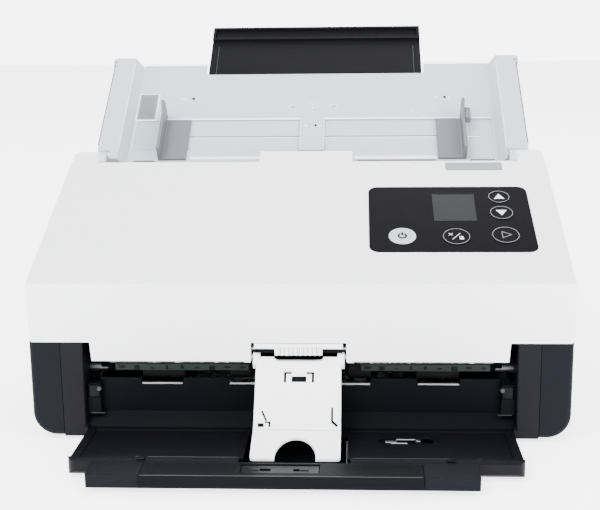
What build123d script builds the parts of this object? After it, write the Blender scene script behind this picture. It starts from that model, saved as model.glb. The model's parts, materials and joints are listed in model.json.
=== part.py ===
"""Sheet fed document scanner: lower unit, hinged lid, input tray and fold-up output tray.

Body coordinates used below: x across, y = depth behind the body's front face, z = height above the
base plate.  Three sloping planes carry most of the features: the cover's top, the paper path through
the machine, and the input tray.
"""
from build123d import *
from math import cos, sin, tan, radians
import os

os.makedirs("parts", exist_ok=True)

# ---------------------------------------------------------------- driving dimensions (mm, degrees)
front_y = -93.6          # front face in the model frame, so that the footprint is centred on the origin
foot_height = 2.0        # rubber feet under the base plate
half_width = 158.0       # body half width
body_depth = 135.0       # front face to the back of the ears
lid_depth = 122.5        # front face to the back edge of the lid between the ears
seam_z = 57.8            # parting line between lower unit and lid, at the front
lid_front = 35.1         # height of the lid's front face
lid_slope = 23.38        # slope of the lid's top and of the parting line
wall = 2.5               # general wall thickness
gap = 0.3                # clearance between neighbouring covers

cover_half = 139.5       # seam between the side covers and the middle of the lower unit
post_inner = 126.0       # inner edge of the front posts
wall_half = 117.7        # half width of the output recess wall
ear_inner = 139.3        # inner face of the lid's ears
ear_outer = 157.0
frame_in, frame_out = 136.0, 138.0   # metal side frames

path_slope = 39.2        # paper path
path_y, path_z = 14.0, 40.0          # exit end of the paper path
tray_slope = 36.0        # input tray
tray_x, tray_y, tray_z = 3.0, 130.5, 137.5   # where the input tray floor starts
tray_length = 113.0
rail_top, rail_inner, rail_fold, rail_outer = 9.0, 126.5, 131.3, 145.5

lid_axis = (129.0, 146.5)            # lid hinge, y and z
chute_axis = (5.0, 48.0)             # exit chute hinge
latch_axis = (9.0, 52.0)             # lid latch hinge
out_axis = (-1.5, 3.5)               # output tray hinge
stop_axis = (-71.0, 7.7)             # paper stop hinge

shaft_r, bush_r, fit = 3.0, 5.0, 0.03
exit_r, feed_r, pick_r = 6.5, 9.0, 10.0
belt_thick = 1.2


# ------------------------------------------------------------------------------- small helpers
def at(y, z):
    """Body depth and height to the model frame's Y and Z."""
    return (front_y + y, foot_height + z)


def sloped(y, z, slope, along, up):
    """Depth and height of a point given along and normal to a plane sloping up to the back."""
    a = radians(slope)
    return (y + along * cos(a) - up * sin(a), z + along * sin(a) + up * cos(a))


def on_path(along, up):
    return sloped(path_y, path_z, path_slope, along, up)


def on_tray(along, up):
    return sloped(tray_y, tray_z, tray_slope, along, up)


def on_lid(along, up):
    return sloped(0, seam_z + lid_front, lid_slope, along, up)


def seam(y):
    """Height of the parting line at depth y."""
    return seam_z + y * tan(radians(lid_slope))


def slab(points, x0, x1, mode=Mode.ADD):
    """Side outline, given as depth and height, extruded from x0 to x1."""
    with BuildSketch(Plane.YZ.offset(x0)) as outline:
        Polygon(*[at(y, z) for y, z in points], align=None)
    extrude(outline.sketch, amount=x1 - x0, mode=mode)


def block(x0, x1, y0, y1, z0, z1, mode=Mode.ADD):
    slab([(y0, z0), (y1, z0), (y1, z1), (y0, z1)], x0, x1, mode)


def sloped_block(on_plane, x0, x1, along0, along1, up0, up1, mode=Mode.ADD):
    corners = [(along0, up0), (along1, up0), (along1, up1), (along0, up1)]
    slab([on_plane(a, u) for a, u in corners], x0, x1, mode)


def rod(x0, x1, centre, radius, mode=Mode.ADD):
    """Round bar along X."""
    with BuildSketch(Plane.YZ.offset(x0)) as outline:
        with Locations(at(*centre)):
            Circle(radius)
    extrude(outline.sketch, amount=x1 - x0, mode=mode)


def plane_on(on_plane, slope, along, up, x=0.0):
    """Sketch plane lying on a sloping surface, its Y axis running up the slope."""
    y, z = on_plane(along, up)
    a = radians(slope)
    return Plane(origin=(x, *at(y, z)), x_dir=(1, 0, 0), z_dir=(0, -sin(a), cos(a)))


retard_centre = on_path(85, 8.3)
idler_centre = on_path(16.5, 6.4)
exit_centre = on_path(3, -exit_r)
feed_centre = on_path(85, -feed_r - 0.1)
pick_centre = on_path(122, -pick_r - 0.1)
motor_centre = (66.0, 30.0)
pulleys = ((motor_centre, 6.0), (exit_centre, 7.0), (feed_centre, 11.0), (pick_centre, 8.0))
pulley_x0, pulley_x1 = -134.6, -129.6

pieces = {}


def keep(name, piece):
    pieces[name] = piece


# ------------------------------------------------------------------------------- lower unit shell
with BuildPart() as base_pan:
    slab([(1.5, 0), (1.5, 5.3), (10, 12.5), (12.5, 12.5), (12.5, 3), (131.7, 3), (131.7, 0)],
         -post_inner + gap, post_inner - gap)
    block(-cover_half + gap, cover_half - gap, 15, 131.7, 0, 3)
    for x in (-95, -55, 55, 95):
        block(x - 1, x + 1, 20, 38, 3, 6)
keep("base_pan", base_pan)

with BuildPart() as side_covers:
    x0, x1 = cover_half, half_width
    slab([(0, 0), (0, seam(0) - gap), (body_depth, seam(body_depth) - gap), (body_depth, 0)], x0, x1)
    fillet(side_covers.edges().filter_by(Axis.Y).sort_by(Axis.X)[-1], radius=14)
    outer_uprights = side_covers.edges().filter_by(Axis.Z).group_by(Axis.X)[-1]
    fillet(outer_uprights.sort_by(Axis.Y)[0], radius=3)
    slab([(3, 3.5), (3, seam(3) - 3.5), (132, seam(132) - 3.5), (132, 3.5)], x0, x1 - 14, Mode.SUBTRACT)
    slab([(3, 15), (3, seam(3) - 3.5), (132, seam(132) - 3.5), (132, 15)], x0, x1 - 3, Mode.SUBTRACT)
    mirror(about=Plane.YZ)
keep("side_covers", side_covers)

with BuildPart() as front_posts:
    slab([(0, 0), (0, seam(0) - gap), (14, seam(14) - gap), (14, 0)], post_inner, cover_half - gap)
    front_uprights = front_posts.edges().filter_by(Axis.Z).group_by(Axis.Y)[0]
    fillet(front_uprights.sort_by(Axis.X)[0], radius=1)
    block(post_inner + 2, cover_half - 2.3, 2.2, 14.5, 2.5, 54, Mode.SUBTRACT)
    mirror(about=Plane.YZ)
keep("front_posts", front_posts)

with BuildPart() as side_frames:
    slab([(16, 3), (16, 60), (96, 118), (118, 134), (124.3, 137), (124.8, 146), (133.2, 146),
          (131, 3)], frame_in, frame_out)
    rod(frame_in, frame_out, lid_axis, 4.2)
    rod(frame_in - 1, frame_out + 1, lid_axis, 1.5 + fit, Mode.SUBTRACT)
    for centre in (exit_centre, feed_centre, pick_centre):
        rod(frame_in - 1, frame_out + 1, centre, bush_r, Mode.SUBTRACT)
    block(frame_in - 1, frame_out + 1, 44, 112, 14, 46, Mode.SUBTRACT)
    mirror(about=Plane.YZ)
keep("side_frames", side_frames)

with BuildPart() as rear_cover:
    slab([(132, 0), (132, 134.8), (134.9, 136.9), (134.9, 0)], -135.6, 135.6)
    block(36, 50, 131, 136, 14, 26, Mode.SUBTRACT)
    block(64, 76, 131, 136, 14, 26, Mode.SUBTRACT)
    for row in range(6):
        block(-90, -30, 131, 136, 40 + 7 * row, 43 + 7 * row, Mode.SUBTRACT)
keep("rear_cover", rear_cover)

with BuildPart() as output_wall:
    block(-wall_half, wall_half, 10, 12.5, 12.5, 33)
    for x0, x1 in ((-94, -69), (-42, 42), (69, 94)):
        block(x0, x1, 9, 13, 29.2, 34, Mode.SUBTRACT)
keep("output_wall", output_wall)

with BuildPart() as exit_strips:
    for x0, x1 in ((-94, -69), (-42, 42), (69, 94)):
        block(x0 + 0.5, x1 - 0.5, 9.6, 12.2, 29.2, 30.2)
keep("exit_strips", exit_strips)

with BuildPart() as tray_brackets:
    for x0 in (-post_inner + gap, wall_half + 0.2):
        block(x0, x0 + 7.8, 5, 12.5, 12.5, 31)
    block(-28, 28, -57, 14, -0.9, 0)
keep("tray_brackets", tray_brackets)

with BuildPart() as rubber_feet:
    for x in (-108, 108):
        for y in (14, 118):
            with BuildSketch(Plane.XY):
                with Locations((x, front_y + y)):
                    Circle(8)
            extrude(amount=foot_height)
keep("rubber_feet", rubber_feet)

# ------------------------------------------------------------------------------- lower paper path
roller_rows = ((-94, -69), (-42, -29), (29, 42), (69, 94))
with BuildPart() as lower_guide:
    sloped_block(on_path, -119, 119, 0, 149, -3.2, -0.7)
    sloped_block(on_path, -119, -116, 14, 138, -12, -3.2)
    sloped_block(on_path, 116, 119, 14, 138, -12, -3.2)
    sloped_block(on_path, -114.5, 114.5, 37.5, 56.5, -4, 0, Mode.SUBTRACT)
    for x0, x1 in roller_rows:
        sloped_block(on_path, x0 - 1, x1 + 1, -4, 11, -4, 0, Mode.SUBTRACT)
    sloped_block(on_path, -29, 29, 74, 96, -4, 0, Mode.SUBTRACT)
    sloped_block(on_path, -21, 21, 111, 133, -4, 0, Mode.SUBTRACT)
    for centre in (feed_centre, pick_centre):
        rod(-120, 120, centre, shaft_r + 1, Mode.SUBTRACT)
keep("lower_guide", lower_guide)

with BuildPart() as lower_sensor:
    sloped_block(on_path, -113.5, 113.5, 38, 56, -17, -3.2)
keep("lower_sensor", lower_sensor)

with BuildPart() as lower_glass:
    sloped_block(on_path, -114, 114, 38, 56, -3.2, -0.9)
keep("lower_glass", lower_glass)

def pulley(centre, radius):
    rod(pulley_x0, pulley_x1, centre, radius)
    rod(pulley_x1, pulley_x1 + 1, centre, radius + 1.6)


for name, centre, radius, rows, pulley_size in (
        ("exit", exit_centre, exit_r, roller_rows, pulleys[1]),
        ("feed", feed_centre, feed_r, ((-27, -7), (7, 27)), pulleys[2]),
        ("pick", pick_centre, pick_r, ((-19, 19),), pulleys[3])):
    with BuildPart() as shaft:
        rod(-frame_out + 0.2, frame_out - 0.2, centre, shaft_r)
        pulley(*pulley_size)
    keep(name + "_shaft", shaft)
    with BuildPart() as rollers:
        for x0, x1 in rows:
            rod(x0, x1, centre, radius)
            rod(x0 - 1, x1 + 1, centre, shaft_r, Mode.SUBTRACT)
    keep(name + "_rollers", rollers)

with BuildPart() as bushings:
    for x0 in (-frame_out, frame_in):
        for centre in (exit_centre, feed_centre, pick_centre):
            rod(x0, x0 + 2, centre, bush_r)
            rod(x0 - 1, x0 + 3, centre, shaft_r + fit, Mode.SUBTRACT)
keep("bushings", bushings)

# drive: one toothed belt round the motor pulley and the three shaft pulleys
with BuildPart() as motor_pulley:
    rod(-124, pulley_x0, motor_centre, 2.5)
    pulley(*pulleys[0])
keep("motor_pulley", motor_pulley)

with BuildPart() as drive_belt:
    for grow, mode in ((0.3 + belt_thick, Mode.ADD), (0.3, Mode.SUBTRACT)):
        with BuildSketch(Plane.YZ.offset(pulley_x0 + 0.3)):
            with BuildLine():
                for centre, radius in pulleys:
                    CenterArc(at(*centre), radius + grow, 0, 360)
            make_hull()
        extrude(amount=4.2, mode=mode)
keep("drive_belt", drive_belt)

with BuildPart() as motor:
    rod(-124, -84, motor_centre, 17.5)
    rod(-127, -124, motor_centre, 8)
    block(-126, -124, motor_centre[0] - 26, motor_centre[0] + 26, 12.6, 52)
    rod(-128, -124, motor_centre, 2.6, Mode.SUBTRACT)
    block(-104, -88, 58, 74, 3, 13)
keep("motor", motor)

with BuildPart() as main_board:
    block(-72, 96, 40, 126, 8, 9.6)
    for x, y, size, height in ((-40, 70, 24, 2), (10, 80, 18, 2), (50, 60, 14, 3), (70, 100, 10, 8)):
        block(x, x + size, y, y + size, 9.6, 9.6 + height)
    for x in (-66, 90):
        for y in (46, 120):
            block(x - 3, x + 3, y - 3, y + 3, 3, 8)
keep("main_board", main_board)

with BuildPart() as rear_sockets:
    for x0, x1 in ((37, 49), (64.5, 75.5)):
        block(x0, x1, 122, 134.4, 14.4, 25.6)
        block(x0, x1, 122, 125.5, 9.6, 14.4)
    block(39, 47, 128, 135, 16, 24, Mode.SUBTRACT)
    with BuildSketch(Plane.XZ.offset(-front_y - 135)):
        with Locations((70, foot_height + 20)):
            Circle(3.6)
            Circle(1.2, mode=Mode.SUBTRACT)
    extrude(amount=-8, mode=Mode.SUBTRACT)
keep("rear_sockets", rear_sockets)

# ------------------------------------------------------------------------------- lid
top_front = on_lid(0, 0)
top_back = on_lid(lid_depth / cos(radians(lid_slope)), 0)
ear_back = on_lid(body_depth / cos(radians(lid_slope)), 0)
panel_mid = (91.0, 66.2)             # control panel centre on the lid: x and distance up the slope
panel_size = (99.4, 70.8)
display_mid, display_size = (94.2, 78.2), (26.3, 30.1)
buttons = (("power_button", 61.1, 46.9, 8.4), ("stop_button", 93.4, 46.4, 8.4),
           ("scan_button", 122.9, 47.9, 8.4), ("up_button", 122.9, 89.5, 6.8),
           ("down_button", 122.8, 71.8, 7.2))
pad_x0, pad_x1, pad_v0, pad_v1 = 91.9, 128.7, 121.7, 131.5


def lid_sketch(up):
    """Sketch plane on the lid's top, raised by up; local Y is the distance up the slope."""
    return plane_on(on_lid, lid_slope, 0, up)


with BuildPart() as top_cover:
    slab([(0, seam_z), top_front, top_back, (lid_depth, seam(lid_depth))], -half_width, half_width)
    fillet(top_cover.edges().filter_by(Axis.Z).group_by(Axis.Y)[0], radius=3)
    for side in (-1, 1):
        x0, x1 = sorted((side * ear_inner, side * ear_outer))
        slab([(lid_depth - 1, seam(lid_depth - 1)), on_lid(lid_depth, 0), ear_back,
              (body_depth, seam(body_depth))], x0, x1)
    rear_corners = top_cover.edges().filter_by(Axis.Z).group_by(Axis.Y)[-1].sort_by(Axis.X)
    fillet([rear_corners[0], rear_corners[-1]], radius=4)
    front_top = top_cover.edges().filter_by(Axis.X).group_by(Axis.Y)[0].sort_by(Axis.Z)[-1]
    fillet(front_top, radius=1.5)
    inner = half_width - wall
    slab([(wall, seam_z - 10), (wall, seam_z + lid_front - 1.8), (lid_depth - wall, top_back[1] - 3.9),
          (lid_depth - wall, seam(lid_depth) - 10)], -inner, inner, Mode.SUBTRACT)
    slab([(lid_depth - 5, 90), (lid_depth - 5, 138.6), (lid_depth + 1, 138.6), (lid_depth + 1, 90)],
         -ear_inner, ear_inner, Mode.SUBTRACT)
    for side in (-1, 1):
        x0, x1 = sorted((side * (ear_inner + wall), side * (ear_outer - wall)))
        slab([(lid_depth - 4, 90), (lid_depth - 4, 141.0), (body_depth - wall, 147.2),
              (body_depth - wall, 90)], x0, x1, Mode.SUBTRACT)
    with BuildSketch(Plane.XZ.offset(-front_y)):
        with BuildLine():
            Polyline((-121, foot_height + 46.5), (121, foot_height + 46.5), (122, foot_height + 60),
                     (-122, foot_height + 60), close=True)
        make_face()
    extrude(amount=-wall)
    block(-27.7, 27.7, -1, 8, 40, seam_z, Mode.SUBTRACT)
    slab([top_back, ear_back, (ear_back[0], ear_back[1] - wall), (lid_depth - 1, top_back[1] - wall)],
         -31, 31)
    with BuildSketch(lid_sketch(0)):
        with Locations(panel_mid):
            RectangleRounded(panel_size[0] + 0.4, panel_size[1] + 0.4, 6)
    extrude(amount=-1.2, mode=Mode.SUBTRACT)
    with BuildSketch(lid_sketch(-1.2)):
        with Locations(display_mid):
            Rectangle(display_size[0] + 1, display_size[1] + 1)
        for name, x, v, radius in buttons:
            with Locations((x, v)):
                Circle(radius - 1.2)
    extrude(amount=-6, mode=Mode.SUBTRACT)
    sloped_block(on_lid, pad_x0, pad_x1, pad_v0, pad_v1, -1.0, 3, Mode.SUBTRACT)
    for x0 in (-ear_inner - wall - 1, ear_inner - 1):
        rod(x0, x0 + wall + 2, lid_axis, 1.5, Mode.SUBTRACT)
keep("top_cover", top_cover)

with BuildPart() as panel_bezel:
    with BuildSketch(lid_sketch(-1.2)):
        with Locations(panel_mid):
            RectangleRounded(*panel_size, 5.8)
        with Locations(display_mid):
            Rectangle(*display_size, mode=Mode.SUBTRACT)
        for name, x, v, radius in buttons:
            with Locations((x, v)):
                Circle(radius, mode=Mode.SUBTRACT)
    extrude(amount=1.4)
keep("panel_bezel", panel_bezel)

with BuildPart() as display_window:
    with BuildSketch(lid_sketch(-1.2)):
        with Locations(display_mid):
            Rectangle(*display_size)
    extrude(amount=1.3)
keep("display_window", display_window)

for name, x, v, radius in buttons:
    with BuildPart() as button:
        with BuildSketch(lid_sketch(-0.6)):
            with Locations((x, v)):
                Circle(radius - 0.25)
        extrude(amount=1.1)
        with BuildSketch(lid_sketch(-4.9)):
            with Locations((x, v)):
                Circle(radius - 1.6)
        extrude(amount=4.4)
    keep(name, button)

with BuildPart() as panel_board:
    with BuildSketch(lid_sketch(-7.5)):
        with Locations(panel_mid):
            Rectangle(94, 66)
    extrude(amount=1.6)
    with BuildSketch(lid_sketch(-5.9)):
        with Locations(display_mid):
            Rectangle(*display_size)
    extrude(amount=4.6)
keep("panel_board", panel_board)

with BuildPart() as cover_pad:
    sloped_block(on_lid, pad_x0 + 0.2, pad_x1 - 0.2, pad_v0 + 0.2, pad_v1 - 0.2, -1.0, 0.1)
keep("cover_pad", cover_pad)

with BuildPart() as lid_pins:
    for x0, x1 in ((-ear_inner - wall, -frame_in + 1), (frame_in - 1, ear_inner + wall)):
        rod(x0, x1, lid_axis, 1.5)
    rod(-32, 32, latch_axis, 1.5)
    for x0, x1 in ((-32, -22.5), (22.5, 32)):
        rod(x0, x1, chute_axis, 1.5)
keep("lid_pins", lid_pins)

with BuildPart() as upper_chassis:
    sloped_block(on_path, -127, 127, 12, 126, 0.8, 3.6)
    for x0 in (-127, 124.5):
        slab([on_path(14, 3.6), on_path(124, 3.6), (108, 127.4), (24, 90.6)], x0, x0 + wall)
    block(-31, 31, 10, 26, 36, 60, Mode.SUBTRACT)
    sloped_block(on_path, -114.5, 114.5, 57.5, 74.5, 0, 4, Mode.SUBTRACT)
    for x0, x1 in roller_rows:
        sloped_block(on_path, x0 - 1, x1 + 1, 11, 22, 0, 4, Mode.SUBTRACT)
    sloped_block(on_path, -29, 29, 75, 95, 0, 4, Mode.SUBTRACT)
    for x0 in (-33, 30):
        sloped_block(on_path, x0, x0 + 3, 80, 90, 3.6, 12)
        rod(x0 - 1, x0 + 4, retard_centre, 2.0 - fit, Mode.SUBTRACT)
    for x0 in (-127, 124.5):
        rod(x0 - 1, x0 + 4, idler_centre, 1.5 - fit, Mode.SUBTRACT)
keep("upper_chassis", upper_chassis)

with BuildPart() as upper_sensor:
    sloped_block(on_path, -113.5, 113.5, 58, 74, 3.2, 17)
keep("upper_sensor", upper_sensor)

with BuildPart() as upper_glass:
    sloped_block(on_path, -114, 114, 58, 74, 0.9, 3.2)
keep("upper_glass", upper_glass)

with BuildPart() as separation_roller:
    rod(-27, 27, retard_centre, 8.0)
    rod(-28, 28, retard_centre, 2.0, Mode.SUBTRACT)
keep("separation_roller", separation_roller)

with BuildPart() as idler_rollers:
    for x0, x1 in roller_rows:
        rod(x0, x1, idler_centre, 5.2)
    rod(-120, 120, idler_centre, 1.5, Mode.SUBTRACT)
keep("idler_rollers", idler_rollers)

with BuildPart() as idler_axles:
    rod(-127, 127, idler_centre, 1.5 - fit)
    rod(-33, 33, retard_centre, 2.0 - fit)
keep("idler_axles", idler_axles)

with BuildPart() as sensor_board:
    for x0, x1 in ((-113, -34), (34, 113)):
        block(x0, x1, 8.4, 10.0, 43, 58)
        block(x0 + 10, x1 - 10, 10, 13, 54, 57)
keep("sensor_board", sensor_board)

with BuildPart() as latch:
    block(-25.6, 25.6, -0.6, 2.2, 54.4, 57.4)
    block(-13.8, 13.8, -0.6, 2.2, 50.6, 54.4)
    for index in range(10):
        x = -12.4 + 2.75 * index
        block(x - 0.5, x + 0.5, -1.3, -0.6, 50.6, 57.4)
    slab([(2.2, 54.6), (2.2, 57.4), (6, 57), (11.5, 54.5), (11.5, 49.8), (7, 49.8), (5.5, 54)],
         -19.5, 19.5)
    rod(-23, 23, latch_axis, 1.5 + fit, Mode.SUBTRACT)
keep("latch", latch)

with BuildPart() as front_lugs:
    for x0 in (-32, 28.2):
        slab([(2.6, 45), (9, 45), (13, 49), (13, 63.5), (2.6, 63.5)], x0, x0 + 3.8)
        rod(x0 - 1, x0 + 5, latch_axis, 1.5, Mode.SUBTRACT)
        rod(x0 - 1, x0 + 5, chute_axis, 1.5, Mode.SUBTRACT)
keep("front_lugs", front_lugs)

# ------------------------------------------------------------------------------- exit chute
chute_half, chute_ear = 24.7, 26.6       # half widths of the plate and of its two ears
with BuildPart() as chute_plate:
    slab([(6.4, 47.8), (-23.4, 15.3), (-25.6, 13.6), (-27, 15.0), (-24.9, 16.9), (4.4, 49.4)],
         -chute_half, chute_half)
    for x0, x1 in ((-chute_ear, -22.5), (22.5, chute_ear)):
        slab([(7, 46.5), (2.4, 41.5), (0.4, 45.0), (4.4, 49.4)], x0, x1)
        rod(x0, x1, chute_axis, 2.8)
    with BuildSketch(Plane.XZ.offset(-front_y + 8)):
        with Locations((0, foot_height + 54)):
            RectangleRounded(28.4, 2 * (54 - 46.1), 2.3)
    extrude(amount=-20, mode=Mode.SUBTRACT)
    block(-3.9, 4.8, -7.1, -4.2, 30, 46, Mode.SUBTRACT)
    block(-22.3, -18.8, -25.6, -23.4, 10, 22, Mode.SUBTRACT)
    block(19.1, 20.3, -23.6, -16.9, 10, 32, Mode.SUBTRACT)
    rod(-30, 30, chute_axis, 1.5 + fit, Mode.SUBTRACT)
keep("chute_plate", chute_plate)

with BuildPart() as chute_tip:
    slab([(-25.6, 13.6), (-27, 15.0), (-51.0, 8.1), (-51.0, 6.5)], -chute_half, chute_half)
    fillet(chute_tip.edges().filter_by(Axis.Z).group_by(Axis.Y)[0], radius=2)
    with BuildSketch(Plane.XY):
        with Locations((0, front_y - 49.5)):
            Ellipse(11.3, 16.5)
    extrude(amount=30, mode=Mode.SUBTRACT)
keep("chute_tip", chute_tip)

# ------------------------------------------------------------------------------- output tray
out_half = 124.0
ext_x0, ext_x1 = -110.0, 98.0        # first extension
grip_x0, grip_x1 = -81.0, 68.5       # second extension
slot_half = 28.5
with BuildPart() as output_tray:
    slab([(-1.5, 0.9), (-55, 0.2), (-57, 2), (-57, 8), (-55.5, 9), (-52, 9), (-49, 6.9), (-1.5, 6.1)],
         -out_half, out_half)
    fillet(output_tray.edges().filter_by(Axis.Z).group_by(Axis.Y)[0], radius=5)
    rod(-out_half, out_half, out_axis, 2.6)
    block(-slot_half, slot_half, -60, -12, -1, 12, Mode.SUBTRACT)
    block(-slot_half - 1.8, slot_half + 1.8, -60, -50.5, 2, 12, Mode.SUBTRACT)
    block(ext_x0 - 0.4, ext_x1 + 0.4, -60, -8, -1, 4.3, Mode.SUBTRACT)
    for x0, x1 in ((-119, -30), (30, 119)):
        slab([(-5, 5.6), (-48, 6.1), (-48, 9), (-5, 9)], x0, x1, Mode.SUBTRACT)
    with BuildSketch(Plane.XY.offset(foot_height + 4.2)):
        with Locations((61.6, front_y - 18.5)):
            SlotOverall(32, 10)
    extrude(amount=4, mode=Mode.SUBTRACT)
    rod(-out_half - 1, out_half + 1, out_axis, 1.2, Mode.SUBTRACT)
keep("output_tray", output_tray)

with BuildPart() as tray_hinge_rod:
    rod(-out_half - 1.9, out_half + 1.9, out_axis, 1.2 - fit)
keep("tray_hinge_rod", tray_hinge_rod)

with BuildPart() as extension_one:
    block(ext_x0, ext_x1, -75, -57.4, 0.9, 8.4)
    block(grip_x0 - 0.3, grip_x1 + 0.3, -76, -59, 2.5, 9, Mode.SUBTRACT)
    block(grip_x0 - 0.3, grip_x1 + 0.3, -60, -57, 2.5, 4.3, Mode.SUBTRACT)
    for x0, x1 in ((ext_x0, -slot_half - 1), (slot_half + 1, ext_x1)):
        block(x0, x1, -57.4, -9, 0.9, 2.4)
    fillet(extension_one.edges().filter_by(Axis.Z).group_by(Axis.Y)[0].group_by(Axis.X)[0], radius=1.5)
keep("extension_one", extension_one)

with BuildPart() as extension_two:
    block(grip_x0, grip_x1, -76.4, -59.3, 2.6, 8.7)
    for x0, x1 in ((grip_x0 + 4, -slot_half - 3), (slot_half + 3, grip_x1 - 4)):
        block(x0, x1, -59.3, -11, 2.6, 4.0)
    block(-28, 14, -72.4, -62, 6.5, 9, Mode.SUBTRACT)
    rod(-29.5, 15.5, stop_axis, 0.6 + fit, Mode.SUBTRACT)
keep("extension_two", extension_two)

with BuildPart() as paper_stop:
    block(-27.6, 13.6, -71.7, -62.3, 7.0, 8.6)
    rod(-29.2, 15.2, stop_axis, 0.6)
    for x in (-18, 0):
        block(x, x + 6, -69, -66, 6, 9, Mode.SUBTRACT)
keep("paper_stop", paper_stop)

# ------------------------------------------------------------------------------- input tray
notch_half = 80.0
rack_left, rack_right = (38.0, 42.0), (25.8, 29.8)   # guide arms under the floor, up the slope
pinion_s, slot_s = 33.9, (35.9, 37.1)


def tray_block(x0, x1, s0, s1, h0, h1, mode=Mode.ADD):
    """Box on the input tray: across, up the slope from the feed slot, above the floor."""
    sloped_block(on_tray, tray_x + x0, tray_x + x1, s0, s1, h0, h1, mode)


def across_tray(along):
    """Sketch plane square to the input tray's slope, its Y axis pointing down into the floor."""
    return Plane(origin=(tray_x, *at(*on_tray(along, 0))), x_dir=(1, 0, 0),
                 z_dir=(0, cos(radians(tray_slope)), sin(radians(tray_slope))))


with BuildPart() as input_tray:
    tray_block(-rail_inner, rail_inner, 0, tray_length, -2, 0)
    for side in (-1, 1):
        with BuildSketch(across_tray(13)):
            with BuildLine():
                Polyline((side * rail_inner, 3), (side * rail_inner, 0), (side * rail_fold, -rail_top),
                         (side * rail_outer, -rail_top), (side * rail_outer, 5),
                         (side * (rail_outer - 2.5), 5), (side * (rail_outer - 2.5), -rail_top + 2.5),
                         (side * (rail_fold + 2), -rail_top + 2.5), (side * (rail_inner + 1.5), 3),
                         close=True)
            make_face()
        extrude(amount=tray_length - 15)
        foot = min(137.0, 134.4 - side * tray_x)
        with BuildSketch(across_tray(5)):
            Polygon((side * rail_inner, 3), (side * rail_inner, 0), (side * rail_fold, -rail_top),
                    (side * foot, -rail_top), (side * foot, 3), align=None)
        extrude(amount=8)
    tray_block(-notch_half, notch_half, 102.5, tray_length + 1, -4, 1, Mode.SUBTRACT)
    tray_block(-125, 125, 21, 52.4, -1.0, 1, Mode.SUBTRACT)
    for x0, x1 in ((-117, -9), (9, 116)):
        tray_block(x0, x1, *slot_s, -3, 1, Mode.SUBTRACT)
    with BuildSketch(plane_on(on_tray, tray_slope, pinion_s, -3, tray_x)):
        Circle(1.5 + fit)
    extrude(amount=3, mode=Mode.SUBTRACT)
    for x in (-88, 92):
        tray_block(x - 2.5, x + 2.5, 73.5, 77.5, -4, 1, Mode.SUBTRACT)
keep("input_tray", input_tray)

with BuildPart() as tray_underside:
    tray_block(-108, 108, 8, 100, -10, -2)
    tray_block(-105.5, 105.5, 10.5, 101, -7.5, -1, Mode.SUBTRACT)
keep("tray_underside", tray_underside)

with BuildPart() as centre_bar:
    tray_block(-8, 8, 20.8, 53, 0, 1.0)
    tray_block(-8, 8, 21, 52.4, -1.0, 0)
    tray_block(-3, 3, 43.5, 47.5, 0.4, 2, Mode.SUBTRACT)
keep("centre_bar", centre_bar)

for side, name, rack in ((-1, "left", rack_left), (1, "right", rack_right)):
    with BuildPart() as guide:
        inner, outer, face = 86.0, 103.0, 105.0
        x0, x1 = sorted((side * inner, side * face))
        tray_block(x0, x1, 12, 51.6, 0.3, 1.6)
        tray_block(x0, x1, 22, 51.6, -0.7, 0.3)
        x0, x1 = sorted((side * outer, side * face))
        profile = [(12, 1.6), (12, 12), (46, 12), (53, 19), (56.5, 12), (56.5, 0.3), (51.6, 0.3)]
        slab([on_tray(s, h) for s, h in profile], tray_x + x0, tray_x + x1)
        x0, x1 = sorted((side * 88, side * 102))
        tray_block(x0, x1, slot_s[0] + 0.3, slot_s[1] - 0.3, -3.3, -0.7)
        tray_block(x0, x1, min(rack[0], slot_s[0] + 0.3), max(rack[1], slot_s[1] - 0.3), -3.3, -2.3)
        x0, x1 = sorted((side * 102, -side * 32))
        tray_block(x0, x1, *rack, -3.3, -2.3)
    keep(name + "_guide", guide)

with BuildPart() as guide_pinion:
    with BuildSketch(plane_on(on_tray, tray_slope, pinion_s, -3.3, tray_x)):
        Circle(4.0)
    extrude(amount=1.0)
    with BuildSketch(plane_on(on_tray, tray_slope, pinion_s, -2.3, tray_x)):
        Circle(1.5)
    extrude(amount=1.1)
keep("guide_pinion", guide_pinion)

with BuildPart() as wear_pad:
    tray_block(-125, -112, 53.5, 80, 0, 0.6)
keep("wear_pad", wear_pad)

with BuildPart() as tray_extension:
    tray_block(-78.6, 78.6, 56, 146, -5.6, -3.6)
    tray_block(-78.6, 78.6, 146, 160.4, -5.6, -1.6)
    tray_block(-76.6, 76.6, 148, 158.4, -3.6, -1, Mode.SUBTRACT)
keep("tray_extension", tray_extension)

# ------------------------------------------------------------------------------- fasteners
with BuildPart() as case_screws:
    for x in (-125, 125):
        for y in (24, 110):
            with BuildSketch(Plane.XY.offset(foot_height + 3)):
                with Locations((x, front_y + y)):
                    Circle(3)
            extrude(amount=2)
keep("case_screws", case_screws)

for name, piece in pieces.items():
    piece.part.label = name
    export_step(piece.part, f"parts/{name}.step")
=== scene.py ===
"""Looks of a sheet fed document scanner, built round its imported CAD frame."""
import bpy
import json
from math import cos, pi, radians, sin, tan
from mathutils import Matrix, Vector

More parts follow.
